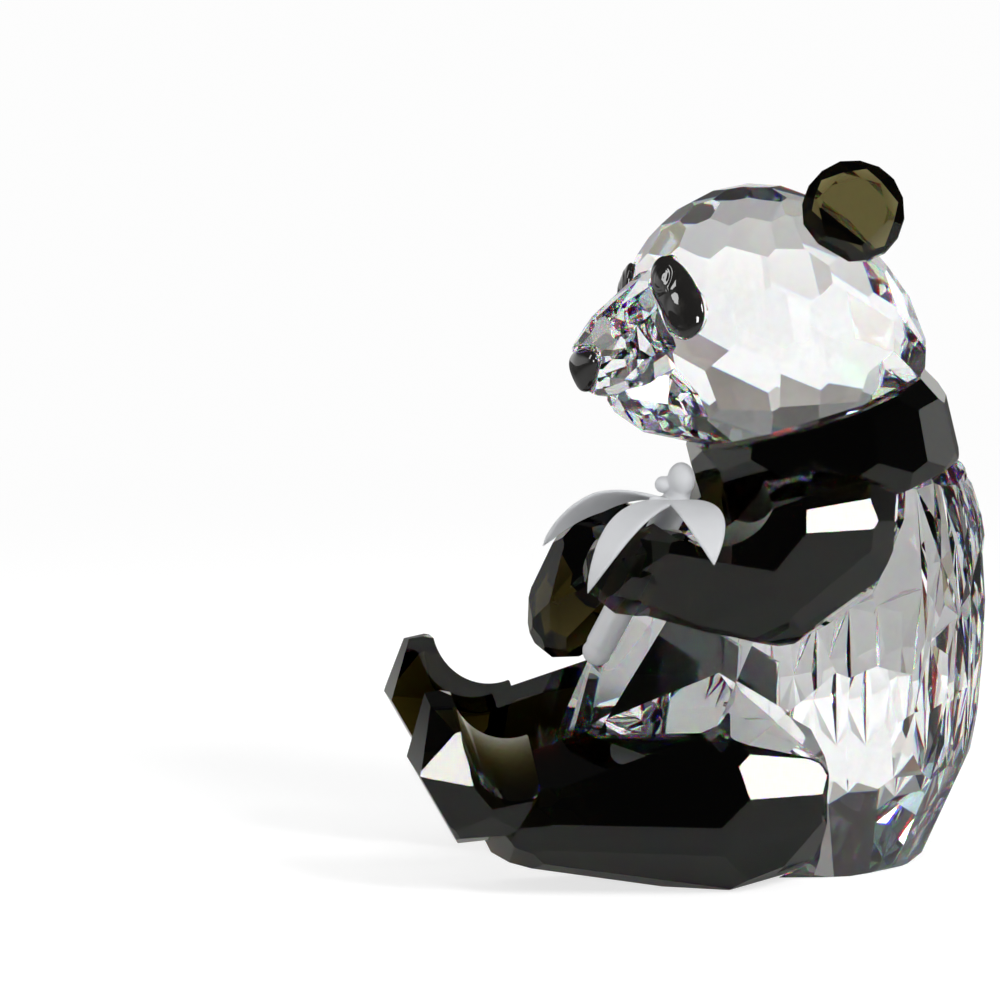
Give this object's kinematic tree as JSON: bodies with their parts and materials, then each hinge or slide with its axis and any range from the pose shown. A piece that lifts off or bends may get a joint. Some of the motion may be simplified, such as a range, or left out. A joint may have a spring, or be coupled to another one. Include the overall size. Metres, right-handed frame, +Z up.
{
  "type": "panda figurine",
  "caption": "Seated panda ground from clear and smoky crystal in flat facets, with black glass eye patches and nose, holding a frosted bamboo sprig.",
  "frame": {"origin": "centre of the bounding box's underside, on the surface the figurine sits on", "axes": "+X is the panda's left, -Y is where its chest faces, +Z is up"},
  "size_m": [0.0564, 0.085, 0.1014],
  "materials": {
    "clear_crystal": "clear lead crystal, ground flat facets, polished",
    "dark_crystal": "smoky brown-black crystal, olive where thin, ground flat facets, polished",
    "black_glass": "moulded opaque black glass, glossy",
    "frosted_crystal": "etched crystal, satin frosted"
  },
  "bodies": {
    "root": {"head": "clear_crystal", "body": "clear_crystal", "shoulders_and_arms": "dark_crystal", "leg_left": "dark_crystal", "leg_right": "dark_crystal", "ear_left": "dark_crystal", "ear_right": "dark_crystal", "eye_patch_left": "black_glass", "eye_patch_right": "black_glass", "nose": "black_glass", "bamboo_sprig": "frosted_crystal"}
  },
  "joints": []
}
